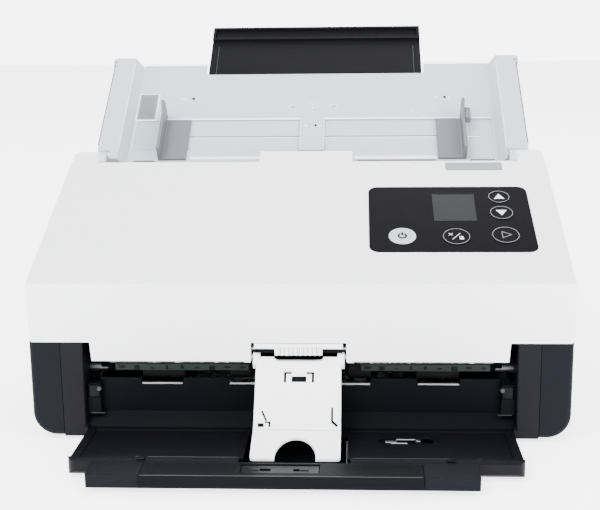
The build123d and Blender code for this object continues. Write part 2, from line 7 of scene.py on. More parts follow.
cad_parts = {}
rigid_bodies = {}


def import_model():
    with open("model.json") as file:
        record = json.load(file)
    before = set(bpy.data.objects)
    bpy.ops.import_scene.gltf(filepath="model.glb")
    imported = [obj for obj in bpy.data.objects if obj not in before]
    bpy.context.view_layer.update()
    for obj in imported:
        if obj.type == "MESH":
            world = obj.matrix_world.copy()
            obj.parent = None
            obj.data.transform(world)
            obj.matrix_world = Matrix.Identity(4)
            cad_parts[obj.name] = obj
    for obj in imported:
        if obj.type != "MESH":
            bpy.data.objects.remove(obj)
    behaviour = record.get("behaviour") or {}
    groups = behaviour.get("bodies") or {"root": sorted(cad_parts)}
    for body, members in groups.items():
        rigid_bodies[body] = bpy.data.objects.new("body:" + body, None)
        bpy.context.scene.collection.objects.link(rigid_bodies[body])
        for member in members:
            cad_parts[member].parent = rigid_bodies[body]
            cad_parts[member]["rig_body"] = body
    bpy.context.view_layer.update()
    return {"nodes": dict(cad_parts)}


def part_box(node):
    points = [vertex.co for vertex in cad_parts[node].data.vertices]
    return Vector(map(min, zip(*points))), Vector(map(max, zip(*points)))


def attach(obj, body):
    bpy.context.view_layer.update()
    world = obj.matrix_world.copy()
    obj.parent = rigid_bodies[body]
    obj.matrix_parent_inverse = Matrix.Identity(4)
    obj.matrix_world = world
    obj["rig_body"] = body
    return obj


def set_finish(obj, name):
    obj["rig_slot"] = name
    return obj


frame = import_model()
nodes = frame["nodes"]
mm = 0.001

# ------------------------------------------------------------------ camera, light and floor
camera_place = Vector((0.0328, -0.7187, 0.2529))
camera_yaw, camera_pitch, camera_roll = radians(2.86), radians(12.70), radians(-0.66)
camera_lens = 67.95
floor_glow = 3.0


def add_camera():
    forward = Vector((-sin(camera_yaw) * cos(camera_pitch), cos(camera_yaw) * cos(camera_pitch),
                      -sin(camera_pitch)))
    level = Vector((cos(camera_yaw), sin(camera_yaw), 0))
    upright = level.cross(forward)
    right = level * cos(camera_roll) + upright * sin(camera_roll)
    up = upright * cos(camera_roll) - level * sin(camera_roll)
    bpy.ops.object.camera_add()
    camera = bpy.context.object
    camera.name = "front_camera"
    turn = Matrix((right, up, -forward)).transposed()
    camera.matrix_world = Matrix.Translation(camera_place) @ turn.to_4x4()
    camera.data.sensor_width = 36
    camera.data.lens = camera_lens
    camera.data.clip_start = 0.01
    bpy.context.scene.camera = camera


def add_lamp(name, place, target, size, power):
    bpy.ops.object.light_add(type="AREA", location=place)
    lamp = bpy.context.object
    lamp.name = name
    lamp.data.shape = "DISK"
    lamp.data.size = size
    lamp.data.energy = power
    lamp.rotation_euler = (Vector(target) - Vector(place)).to_track_quat("-Z", "Y").to_euler()


def node_material(name):
    material = bpy.data.materials.new(name)
    material.use_nodes = True
    material.node_tree.nodes.clear()
    return material, material.node_tree.nodes, material.node_tree.links


def add_studio():
    bpy.ops.mesh.primitive_plane_add(size=8, location=(0, 0, -0.0004))
    floor = bpy.context.object
    floor.name = "studio_floor"
    material, tree, links = node_material("pale_floor")
    shader = tree.new("ShaderNodeBsdfPrincipled")
    output = tree.new("ShaderNodeOutputMaterial")
    shader.inputs["Base Color"].default_value = (0.86, 0.86, 0.87, 1)
    shader.inputs["Roughness"].default_value = 0.8
    shader.inputs["Specular IOR Level"].default_value = 0.0
    shader.inputs["Emission Color"].default_value = (1, 1, 1, 1)
    shader.inputs["Emission Strength"].default_value = floor_glow
    links.new(shader.outputs["BSDF"], output.inputs["Surface"])
    floor.data.materials.append(material)
    world = bpy.data.worlds.new("studio")
    world.use_nodes = True
    sky, sky_links = world.node_tree.nodes, world.node_tree.links
    coords = sky.new("ShaderNodeTexCoord")
    height = sky.new("ShaderNodeSeparateXYZ")
    band = sky.new("ShaderNodeMapRange")
    band.inputs["From Min"].default_value = 0.10
    band.inputs["From Max"].default_value = 0.28
    band.inputs["To Min"].default_value = 6.5
    band.inputs["To Max"].default_value = 2.2
    sky_links.new(coords.outputs["Generated"], height.inputs["Vector"])
    sky_links.new(height.outputs["Z"], band.inputs["Value"])
    sky_links.new(band.outputs["Result"], sky["Background"].inputs["Strength"])
    sky["Background"].inputs["Color"].default_value = (1.0, 1.0, 1.0, 1)
    bpy.context.scene.world = world
    add_lamp("key_lamp", (-0.7, -1.1, 1.5), (0, 0, 0.1), 0.9, 44)
    add_lamp("fill_lamp", (1.1, -0.9, 0.9), (0, 0, 0.1), 0.9, 20)
    add_lamp("back_lamp", (0.2, 1.3, 1.4), (0, 0.05, 0.15), 0.9, 16)


# ------------------------------------------------------------------ places taken from the frame
lid_slope, tray_slope = radians(23.38), radians(36.0)
cover_low, cover_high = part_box("top_cover")
front_y = cover_low.y
body_depth = cover_high.y - cover_low.y
lid_start = Vector((0, front_y, cover_high.z - body_depth * tan(lid_slope)))
tray_start = Vector((0.003, front_y + 0.1305, 0.1395))
foot_height = 2


def on_slope(start, slope, across, along, up):
    """Point on a plane that climbs to the back: across, up the slope and off it, in millimetres."""
    return start + mm * Vector((across, along * cos(slope) - up * sin(slope),
                                along * sin(slope) + up * cos(slope)))


def on_lid(across, along, up):
    return on_slope(lid_start, lid_slope, across, along, up)


def on_tray(across, along, up):
    return on_slope(tray_start, tray_slope, across, along, up)


def body_point(x, y, z):
    """Point from body sizes in millimetres: across, behind the front face, above the base plate."""
    return Vector((x * mm, front_y + y * mm, (z + foot_height) * mm))


# ------------------------------------------------------------------ materials
def add_noise(tree, links, coords, scale, detail=3.0):
    noise = tree.new("ShaderNodeTexNoise")
    noise.inputs["Scale"].default_value = scale
    noise.inputs["Detail"].default_value = detail
    links.new(coords.outputs["Object"], noise.inputs["Vector"])
    return noise


def add_range(tree, links, source, low, high):
    remap = tree.new("ShaderNodeMapRange")
    remap.inputs["From Min"].default_value = 0.3
    remap.inputs["From Max"].default_value = 0.7
    remap.inputs["To Min"].default_value = low
    remap.inputs["To Max"].default_value = high
    links.new(source, remap.inputs["Value"])
    return remap.outputs["Result"]


def add_tint(tree, links, factor, first, second):
    mix = tree.new("ShaderNodeMix")
    mix.data_type = "RGBA"
    mix.inputs["A"].default_value = (*first, 1)
    mix.inputs["B"].default_value = (*second, 1)
    links.new(factor, mix.inputs["Factor"])
    return mix.outputs["Result"]


def moulded(name, colour, roughness, grain=2200, depth=0.12, drift=0.03, edge=0.35, metallic=0.0,
            coat=0.0, shine=0.5, stretch=None):
    """Moulded, ground or rolled surface: fine grain, uneven gloss, slight drift and soft edges."""
    material, tree, links = node_material(name)
    shader = tree.new("ShaderNodeBsdfPrincipled")
    output = tree.new("ShaderNodeOutputMaterial")
    coords = tree.new("ShaderNodeTexCoord")
    broad = add_noise(tree, links, coords, 14, 2)
    darker = [channel * (1 - drift) for channel in colour]
    lighter = [min(1.0, channel * (1 + drift)) for channel in colour]
    links.new(add_tint(tree, links, broad.outputs["Fac"], darker, lighter), shader.inputs["Base Color"])
    gloss = add_noise(tree, links, coords, 90, 4)
    links.new(add_range(tree, links, gloss.outputs["Fac"], roughness - 0.015, roughness + 0.015),
              shader.inputs["Roughness"])
    fine = add_noise(tree, links, coords, grain, 2)
    if stretch:
        mapping = tree.new("ShaderNodeMapping")
        mapping.inputs["Scale"].default_value = stretch
        links.new(coords.outputs["Object"], mapping.inputs["Vector"])
        links.new(mapping.outputs["Vector"], fine.inputs["Vector"])
    soft_edge = tree.new("ShaderNodeBevel")
    soft_edge.samples = 4
    soft_edge.inputs["Radius"].default_value = edge * mm
    bump = tree.new("ShaderNodeBump")
    bump.inputs["Strength"].default_value = depth
    bump.inputs["Distance"].default_value = 0.0001
    links.new(fine.outputs["Fac"], bump.inputs["Height"])
    links.new(soft_edge.outputs["Normal"], bump.inputs["Normal"])
    links.new(bump.outputs["Normal"], shader.inputs["Normal"])
    shader.inputs["Metallic"].default_value = metallic
    shader.inputs["Specular IOR Level"].default_value = shine
    shader.inputs["Coat Weight"].default_value = coat
    shader.inputs["Coat Roughness"].default_value = 0.08
    links.new(shader.outputs["BSDF"], output.inputs["Surface"])
    return material


def circuit_board(name):
    """Green board crowded with pale, black and tinned components."""
    material, tree, links = node_material(name)
    shader = tree.new("ShaderNodeBsdfPrincipled")
    output = tree.new("ShaderNodeOutputMaterial")
    coords = tree.new("ShaderNodeTexCoord")
    parts = tree.new("ShaderNodeTexVoronoi")
    parts.distance = "CHEBYCHEV"
    parts.inputs["Scale"].default_value = 420
    links.new(coords.outputs["Object"], parts.inputs["Vector"])
    ramp = tree.new("ShaderNodeValToRGB")
    ramp.color_ramp.interpolation = "CONSTANT"
    steps = ((0.0, (0.003, 0.008, 0.005)), (0.42, (0.02, 0.05, 0.03)), (0.62, (0.10, 0.16, 0.12)),
             (0.80, (0.40, 0.50, 0.43)), (0.94, (0.004, 0.004, 0.004)))
    ramp.color_ramp.elements[1].position = steps[1][0]
    for index, (position, colour) in enumerate(steps):
        stops = ramp.color_ramp.elements
        element = stops[index] if index < 2 else stops.new(position)
        element.color = (*colour, 1)
    links.new(parts.outputs["Color"], ramp.inputs["Fac"])
    links.new(ramp.outputs["Color"], shader.inputs["Base Color"])
    bump = tree.new("ShaderNodeBump")
    bump.inputs["Strength"].default_value = 0.6
    bump.inputs["Distance"].default_value = 0.0006
    links.new(parts.outputs["Color"], bump.inputs["Height"])
    links.new(bump.outputs["Normal"], shader.inputs["Normal"])
    shader.inputs["Roughness"].default_value = 0.35
    links.new(shader.outputs["BSDF"], output.inputs["Surface"])
    return material


white_shell = moulded("satin_white_shell", (0.82, 0.832, 0.85), 0.50, grain=2600, depth=0.08,
                      drift=0.008)
chute_white = moulded("bright_white_chute", (0.95, 0.955, 0.96), 0.42, grain=2600, depth=0.05,
                      drift=0.006)
tray_white = moulded("cool_white_tray", (0.45, 0.46, 0.49), 0.46, grain=2000, depth=0.10, drift=0.012)
guide_grey = moulded("grey_guides", (0.118, 0.120, 0.140), 0.42, depth=0.10, shine=0.3)
pad_grey = moulded("ribbed_grey_pad", (0.20, 0.205, 0.225), 0.55, depth=0.2, shine=0.3)
side_charcoal = moulded("charcoal_side_covers", (0.0026, 0.0032, 0.0054), 0.52, grain=1500, depth=0.30,
                        drift=0.02, shine=0.06)
body_black = moulded("satin_black_body", (0.0026, 0.0025, 0.0042), 0.46, grain=1700, depth=0.25,
                     drift=0.05, shine=0.08)
# Darkest black for recess parts and black print, darker than the body black as painted shade; also used
# for dark strips and plates that stand in for shadow.
deep_black_and_painted_shade = moulded("deep_black_and_painted_shade", (0.0018, 0.0022, 0.0034), 0.46, grain=1500, depth=0.20,
                       drift=0.05, shine=0.04)
gloss_black = moulded("gloss_black_mouldings", (0.0016, 0.0018, 0.0028), 0.30, depth=0.03, shine=0.08)
extension_dark = moulded("dark_tray_extension", (0.0031, 0.0031, 0.0044), 0.52, grain=1400, depth=0.3,
                         edge=0.1, shine=0.05)
panel_dark = moulded("dark_key_panel", (0.0022, 0.0020, 0.0036), 0.5, depth=0.05, drift=0.02, shine=0.02)
key_grey = moulded("pale_grey_key", (0.38, 0.40, 0.42), 0.42, depth=0.05, shine=0.3)
ink_pale = moulded("pale_printing", (0.62, 0.64, 0.66), 0.5, depth=0.02, edge=0.05, shine=0.2)
ring_grey = moulded("dim_printed_rings", (0.22, 0.22, 0.25), 0.5, depth=0.02, edge=0.05, shine=0.2)
ink_dark = moulded("dark_printing", (0.0015, 0.0016, 0.002), 0.5, depth=0.02, edge=0.05, shine=0.1)
screen_grey = moulded("unlit_display", (0.0105, 0.0108, 0.0122), 0.36, grain=900, depth=0.02, shine=0.04)
roller_rubber = moulded("roller_rubber", (0.004, 0.004, 0.004), 0.75, grain=1200, depth=0.6, shine=0.1)
foot_rubber = moulded("foot_rubber", (0.008, 0.008, 0.008), 0.8, grain=900, depth=0.5, shine=0.2)
ground_steel = moulded("ground_steel", (0.40, 0.41, 0.42), 0.30, grain=500, depth=0.15, metallic=1.0,
                       stretch=(0.1, 1, 1))
# Steel darkened as painted shade, for the frames and shaft ends inside the body.
painted_shade_steel = moulded("shadowed_steel", (0.085, 0.088, 0.095), 0.35, grain=500, depth=0.15, metallic=1.0,
                     stretch=(0.1, 1, 1))
bronze = moulded("sintered_bronze", (0.30, 0.19, 0.08), 0.4, metallic=1.0)
scan_glass = moulded("scan_glass", (0.05, 0.06, 0.06), 0.06, depth=0.0, shine=0.6)
# Painted highlights: lighter lines and glints on the edges of dark parts.
glint_grey = moulded("painted_glint_edges", (0.011, 0.012, 0.015), 0.36, depth=0.05, shine=0.4)
shine_white = moulded("bright_tray_edges", (0.86, 0.865, 0.88), 0.35, depth=0.03, drift=0.01)
guide_light = moulded("light_guide_edges", (0.20, 0.205, 0.23), 0.40, depth=0.05, shine=0.3)
glide_pale = moulded("pale_glide_panel", (0.34, 0.42, 0.46), 0.30, depth=0.03, drift=0.02)
dim_board = moulded("shadowed_board_edge", (0.006, 0.011, 0.009), 0.5, grain=600, drift=0.5, depth=0.6,
                    shine=0.2)
green_board = circuit_board("green_circuit_board")

finishes = {
    white_shell: ("top_cover", "front_lugs"),
    chute_white: ("latch", "chute_plate", "chute_tip"),
    tray_white: ("input_tray", "tray_underside", "centre_bar"),
    guide_grey: ("left_guide", "right_guide", "guide_pinion"),
    pad_grey: ("wear_pad", "cover_pad"),
    side_charcoal: ("side_covers", "rear_cover", "extension_one"),
    body_black: ("front_posts", "output_tray"),
    # Recess parts, the steel exit shaft among them, take the darkest black as painted shade.
    deep_black_and_painted_shade: ("base_pan", "output_wall", "tray_brackets", "exit_shaft", "lower_guide",
                   "extension_two", "upper_chassis", "lower_sensor", "upper_sensor", "idler_rollers"),
    gloss_black: ("paper_stop", "rear_sockets"),
    extension_dark: ("tray_extension",),
    panel_dark: ("panel_bezel", "stop_button", "scan_button", "up_button", "down_button"),
    key_grey: ("power_button",),
    screen_grey: ("display_window",),
    roller_rubber: ("exit_rollers", "feed_rollers", "pick_rollers", "separation_roller", "drive_belt"),
    foot_rubber: ("rubber_feet",),
    painted_shade_steel: ("side_frames",),
    ground_steel: ("exit_strips", "feed_shaft", "pick_shaft", "motor",
                   "lid_pins", "idler_axles", "tray_hinge_rod", "case_screws"),
    bronze: ("bushings", "motor_pulley"),
    scan_glass: ("lower_glass", "upper_glass"),
    green_board: ("main_board", "panel_board", "sensor_board"),
}
for finish, names in finishes.items():
    for node_name in names:
        for material_slot in nodes[node_name].material_slots:
            material_slot.material = finish

# ------------------------------------------------------------------ modelling helpers
def begin(add, name, place, tilt=0.0, **sizes):
    """New primitive at its place, tilted about X, alone in the selection."""
    bpy.ops.object.select_all(action="DESELECT")
    add(location=place, rotation=(tilt, 0, 0), **sizes)
    piece = bpy.context.object
    piece.name = name
    return piece


def choose(piece, wanted):
    """Selects the faces whose centre and normal pass a test, in edit mode."""
    bpy.ops.mesh.select_all(action="DESELECT")
    bpy.ops.mesh.select_mode(type="FACE")
    bpy.ops.object.mode_set(mode="OBJECT")
    for face in piece.data.polygons:
        face.select = wanted(face.center, face.normal)
    bpy.ops.object.mode_set(mode="EDIT")


def settle(piece, finish, body, record_slot):
    """Puts a finished piece's place into its mesh and gives it its finish, body and slot."""
    if bpy.context.mode != "OBJECT":
        bpy.ops.object.mode_set(mode="OBJECT")
    bpy.ops.object.transform_apply(location=True, rotation=True, scale=True)
    piece.data.materials.append(finish)
    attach(piece, body)
    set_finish(piece, record_slot)
    return piece


def spread(piece, moves, body=None):
    """Copies a finished piece once per move, each copy with its own mesh."""
    for move in moves:
        bpy.ops.object.select_all(action="DESELECT")
        piece.select_set(True)
        bpy.context.view_layer.objects.active = piece
        bpy.ops.object.duplicate()
        bpy.ops.transform.translate(value=move)
        bpy.ops.object.transform_apply(location=True, rotation=False, scale=False)
        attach(bpy.context.object, body or piece["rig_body"])
        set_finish(bpy.context.object, piece["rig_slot"])


def across_by(*distances):
    """Moves to the right, in millimetres."""
    return [Vector((distance * mm, 0, 0)) for distance in distances]


def add_row(piece, count, pitch):
    """Repeats a piece's shape to the right within its own mesh."""
    bpy.ops.object.mode_set(mode="OBJECT")
    row = piece.modifiers.new("row", "ARRAY")
    row.count = count
    row.use_relative_offset = False
    row.use_constant_offset = True
    row.constant_offset_displace = (pitch * mm, 0, 0)
    bpy.ops.object.modifier_apply(modifier="row")


def block(name, place, size, tilt=0.0, soften=0.25, steps=2):
    """Box with rounded edges, in edit mode: size is across, along and thick in millimetres."""
    piece = begin(bpy.ops.mesh.primitive_cube_add, name, place, tilt, size=1)
    piece.scale = [length * mm for length in size]
    bpy.ops.object.transform_apply(location=False, rotation=False, scale=True)
    bpy.ops.object.mode_set(mode="EDIT")
    bpy.ops.mesh.select_all(action="SELECT")
    bpy.ops.mesh.bevel(offset=soften * mm, segments=steps, affect="EDGES")
    return piece


def dished_block(name, place, size, rim, depth, tilt=0.0, soften=0.25):
    """Rounded box whose top is sunk inside a rim."""
    piece = begin(bpy.ops.mesh.primitive_cube_add, name, place, tilt, size=1)
    piece.scale = [length * mm for length in size]
    bpy.ops.object.transform_apply(location=False, rotation=False, scale=True)
    bpy.ops.object.mode_set(mode="EDIT")
    choose(piece, lambda centre, normal: normal.z > 0.9)
    bpy.ops.mesh.inset(thickness=rim * mm)
    bpy.ops.mesh.extrude_region_move(TRANSFORM_OT_translate={"value": (0, 0, 0)})
    bpy.ops.transform.translate(value=(0, 0, -depth * mm), orient_type="LOCAL")
    bpy.ops.mesh.select_all(action="SELECT")
    bpy.ops.mesh.remove_doubles(threshold=1e-6)
    bpy.ops.mesh.bevel(offset=soften * mm, segments=1, affect="EDGES")
    return piece


def ring(name, place, tilt, radius, width, thick=0.08, sides=56):
    """Flat printed ring, in edit mode."""
    piece = begin(bpy.ops.mesh.primitive_circle_add, name, place, tilt, vertices=sides,
                  radius=radius * mm, fill_type="NGON")
    bpy.ops.object.mode_set(mode="EDIT")
    bpy.ops.mesh.select_all(action="SELECT")
    bpy.ops.mesh.inset(thickness=width * mm)
    bpy.ops.mesh.delete(type="FACE")
    bpy.ops.mesh.select_all(action="SELECT")
    bpy.ops.mesh.extrude_region_move(TRANSFORM_OT_translate={"value": (0, 0, thick * mm),
                                                             "orient_type": "LOCAL"})
    bpy.ops.mesh.select_all(action="SELECT")
    bpy.ops.mesh.normals_make_consistent(inside=False)
    return piece


def stud(name, place, radius, length, axis="X", soften=0.3, sides=32):
    """Round pin with rounded ends, in edit mode, along X, Y or Z."""
    piece = begin(bpy.ops.mesh.primitive_cylinder_add, name, place, vertices=sides, radius=radius * mm,
                  depth=length * mm)
    piece.rotation_euler = {"X": (0, pi / 2, 0), "Y": (pi / 2, 0, 0), "Z": (0, 0, 0)}[axis]
    bpy.ops.object.mode_set(mode="EDIT")
    choose(piece, lambda centre, normal: abs(normal.z) > 0.9)
    bpy.ops.mesh.inset(thickness=soften * mm)
    bpy.ops.mesh.select_all(action="SELECT")
    bpy.ops.mesh.bevel(offset=0.3 * soften * mm, segments=1, affect="EDGES")
    return piece


def triangle(name, place, tilt, radius, turn, outline=0.0, thick=0.08):
    """Printed triangle pointing along turn, filled or as an outline, in edit mode."""
    piece = begin(bpy.ops.mesh.primitive_circle_add, name, place, tilt, vertices=3, radius=radius * mm,
                  fill_type="NGON")
    piece.rotation_euler.rotate_axis("Z", turn)
    bpy.ops.object.mode_set(mode="EDIT")
    bpy.ops.mesh.select_all(action="SELECT")
    if outline:
        bpy.ops.mesh.inset(thickness=outline * mm)
        bpy.ops.mesh.delete(type="FACE")
    bpy.ops.mesh.select_all(action="SELECT")
    bpy.ops.mesh.extrude_region_move(TRANSFORM_OT_translate={"value": (0, 0, thick * mm),
                                                             "orient_type": "LOCAL"})
    bpy.ops.mesh.select_all(action="SELECT")
    bpy.ops.mesh.normals_make_consistent(inside=False)
    return piece


def stroke(name, place, length, width, turn, tilt, thick=0.08):
    """Printed straight line turned within its sloping plane."""
    piece = block(name, place, (length, width, thick), tilt, soften=0.02, steps=1)
    bpy.ops.object.mode_set(mode="OBJECT")
    piece.rotation_euler.rotate_axis("Z", turn)
    return piece


# ------------------------------------------------------------------ key panel
key_top = 0.52
keys = {"power": (61.1, 46.9), "stop": (93.4, 46.4), "scan": (122.9, 47.9), "up": (122.9, 89.5),
        "down": (122.8, 71.8)}


def on_key(name, across=0.0, along=0.0):
    x, v = keys[name]
    return on_lid(x + across, v + along, key_top)


def add_key_rings():
    for name, radius in (("stop", 8.0), ("scan", 8.0), ("up", 6.45), ("down", 6.85)):
        settle(ring(name + "_key_ring", on_key(name), lid_slope, radius, 0.26), ring_grey,
               name + "_key", "button_grey")


def add_power_mark():
    body = "power_key"
    mark = ring("power_mark_arc", on_key("power"), lid_slope, 2.9, 1.2, 0.14)
    bpy.ops.mesh.select_mode(type="FACE")
    choose(mark, lambda centre, normal: centre.y > 1.6 * mm and abs(centre.x) < 1.3 * mm)
    bpy.ops.mesh.delete(type="FACE")
    bpy.ops.mesh.select_all(action="SELECT")
    bpy.ops.mesh.select_mode(type="EDGE")
    bpy.ops.mesh.fill_holes(sides=8)
    settle(mark, ink_dark, body, "button_dark")
    settle(stroke("power_mark_bar", on_key("power", 0, 2.0), 3.4, 1.2, pi / 2, lid_slope, 0.14), ink_dark,
           body, "button_dark")
    settle(ring("power_key_edge", on_key("power"), lid_slope, 7.9, 0.25), white_shell, body, "button_grey")


def add_stop_mark():
    body = "stop_key"
    for turn in (pi / 4, -pi / 4):
        settle(stroke("stop_mark_cross", on_key("stop", -3.3, 2.0), 3.2, 0.34, turn, lid_slope),
               ink_pale, body, "button_grey")
    settle(stroke("stop_mark_slash", on_key("stop"), 8.0, 0.36, radians(52), lid_slope), ink_pale,
           body, "button_grey")
    settle(block("stop_mark_palm", on_key("stop", 3.0, -2.3), (2.5, 1.9, 0.08), lid_slope, 0.03), ink_pale,
           body, "button_grey")
    for across, along, length in ((2.1, -0.9, 1.3), (3.0, -0.6, 1.7), (3.9, -0.9, 1.3)):
        settle(stroke("stop_mark_finger", on_key("stop", across, along), length, 0.7, pi / 2, lid_slope),
               ink_pale, body, "button_grey")


def add_arrow_marks():
    settle(triangle("scan_mark", on_key("scan", -0.2), lid_slope, 4.0, -pi / 2, outline=0.3), ring_grey,
           "scan_key", "button_grey")
    settle(triangle("up_mark", on_key("up", 0, -0.6), lid_slope, 3.8, 0.0), ink_pale, "up_key",
           "button_grey")
    settle(triangle("down_mark", on_key("down", 0, 0.6), lid_slope, 3.8, pi), ink_pale, "down_key",
           "button_grey")


def add_display_edge():
    frame_piece = begin(bpy.ops.mesh.primitive_plane_add, "display_edge", on_lid(94.2, 78.2, 0.12),
                        lid_slope, size=1)
    frame_piece.scale = (26.2 * mm, 30.0 * mm, 1)
    bpy.ops.object.transform_apply(location=False, rotation=False, scale=True)
    bpy.ops.object.mode_set(mode="EDIT")
    bpy.ops.mesh.select_all(action="SELECT")
    bpy.ops.mesh.inset(thickness=0.6 * mm)
    bpy.ops.mesh.delete(type="FACE")
    bpy.ops.mesh.select_all(action="SELECT")
    bpy.ops.mesh.extrude_region_move(TRANSFORM_OT_translate={"value": (0, 0, 0.1 * mm),
                                                             "orient_type": "LOCAL"})
    bpy.ops.mesh.select_all(action="SELECT")
    bpy.ops.mesh.normals_make_consistent(inside=False)
    settle(frame_piece, gloss_black, "lid", "panel_dark")


add_key_rings()
add_power_mark()
add_stop_mark()
add_arrow_marks()
add_display_edge()

# ------------------------------------------------------------------ exit chute and latch
chute_slope = radians(47.97)


def on_chute(across, down, off):
    """Point on the chute's front face: across, down the face from its hinge, and off it."""
    return body_point(across, 4.4 - down * cos(chute_slope) - off * sin(chute_slope),
                      49.4 - down * sin(chute_slope) + off * cos(chute_slope))


def add_chute_details():
    body = "exit_chute"
    printed_thick, printed_off = 0.16, 0.02
    for name, x0, x1, d0, d1 in (("left_post", -8.3, -6.9, 11.0, 17.5),
                                 ("left_arm", -8.3, -3.8, 11.0, 12.2),
                                 ("right_post", 7.8, 9.2, 11.0, 17.5),
                                 ("right_arm", 4.7, 9.2, 11.0, 12.2),
                                 ("hook_post", -16.1, -15.0, 42.0, 46.0),
                                 ("hook_arm", -18.4, -15.0, 41.3, 42.3)):
        settle(block("chute_mark_" + name, on_chute((x0 + x1) / 2, (d0 + d1) / 2, printed_off),
                     (x1 - x0, d1 - d0, printed_thick), chute_slope, 0.05), deep_black_and_painted_shade, body,
               "body_black")
    for name, across, down, length, width, turn in (("left_curl", -18.8, 38.0, 6.6, 1.1, radians(-66)),
                                                    ("left_tail", -22.6, 47.0, 5.0, 0.7, radians(74)),
                                                    ("right_foot", 21.3, 42.6, 4.0, 1.5, radians(-42))):
        settle(stroke("chute_mark_" + name, on_chute(across, down, printed_off), length, width, turn,
                      chute_slope, printed_thick), deep_black_and_painted_shade, body, "body_black")
    # Black plates just behind the window and holes: painted shade for the dark inside seen through them.
    for name, across, down, wide, tall in (("window", 0.45, 15.03, 8.3, 4.0),
                                           ("left_hole", -20.55, 43.2, 3.3, 3.0),
                                           ("right_hole", 19.7, 36.8, 1.1, 9.8)):
        settle(block("chute_shade_backing_" + name, on_chute(across, down, -0.8), (wide, tall, 0.4),
                     chute_slope, 0.08), deep_black_and_painted_shade, body, "body_black")
    rib_out = 24.2
    rib = settle(block("chute_side_rib", on_chute(-rib_out, 24.5, 0.2), (0.7, 38.0, 0.7), chute_slope,
                       0.2), chute_white, body, "white_shell")
    spread(rib, across_by(2 * rib_out))
    settle(block("chute_fold_line", body_point(0, -26.9, 15.1), (49.0, 0.5, 0.35), 0, 0.1), tray_white,
           body, "tray_white")


def add_latch_details():
    # Black strip behind the latch bar: painted shadow filling the dark band under the bar.
    settle(block("latch_shadow_strip", body_point(0, 2.6, 52.6), (50.6, 0.3, 2.9), 0, 0.1), deep_black_and_painted_shade,
           "lid_latch", "body_black")
    line_count, line_pitch = 22, 1.23
    line = settle(block("latch_grip_line", body_point(-12.9, -0.72, 53.2), (0.28, 0.3, 4.6), 0, 0.08, 1),
                  pad_grey, "lid_latch", "pad_grey")
    spread(line, across_by(*(line_pitch * index for index in range(1, line_count))))


add_chute_details()
add_latch_details()


# ------------------------------------------------------------------ output recess
def add_board_strips():
    """Populated board edges seen under the lid's apron."""
    body = "lower_unit"
    for middle, length in ((-70, 80), (74, 76)):
        settle(dished_block("board_edge", body_point(middle, 13.0, 38.9), (length, 0.7, 4.4), 0.2, 0.1),
               dim_board, body, "board")
        for index in range(9):
            across = middle - length / 2 + 4 + index * (length - 8) / 8
            tall = 1.6 + 1.1 * sin(2.3 * index)
            settle(block("board_chip", body_point(across, 12.6, 38.6 + 0.4 * cos(1.7 * index)),
                         (2.4 + 1.2 * cos(index), 0.6, tall), 0, 0.12), gloss_black, body, "gloss_black")


def add_recess_details():
    body = "lower_unit"
    pin_out, cap_out, ledge_out, boss_out, sleeve_out = 118.2, 121.4, 120.0, 125.05, 121.4
    # The hinge pins and the thin ledge strip are drawn in the painted glint grey.
    pin = settle(stud("recess_hinge_pin", body_point(-pin_out, 4.2, 28.2), 1.3, 2.4, "Y"), glint_grey,
                 body, "steel")
    cap = settle(block("recess_hinge_cap", body_point(-cap_out, 4.7, 26.4), (7.2, 1.2, 7.6), 0, 0.8),
                 gloss_black, body, "gloss_black")
    ledge = settle(block("recess_ledge", body_point(-ledge_out, 4.8, 12.7), (8.6, 0.8, 0.5), 0, 0.15),
                   glint_grey, body, "side_charcoal")
    boss = settle(stud("tray_hinge_boss", body_point(-boss_out, -1.5, 3.5), 4.4, 1.5), body_black, body,
                  "body_black")
    sleeve = settle(stud("exit_shaft_sleeve", body_point(-sleeve_out, 20.4, 36.9), 3.5, 12.0),
                    painted_shade_steel, "exit_roll", "steel")
    for piece, out in ((pin, pin_out), (cap, cap_out), (ledge, ledge_out), (boss, boss_out),
                       (sleeve, sleeve_out)):
        spread(piece, across_by(2 * out))
    rim = settle(block("wall_notch_rim", body_point(-98, 9.9, 32.2), (6.5, 0.5, 1.2), 0, 0.2),
                 gloss_black, body, "gloss_black")
    spread(rim, across_by(62, 134, 196))


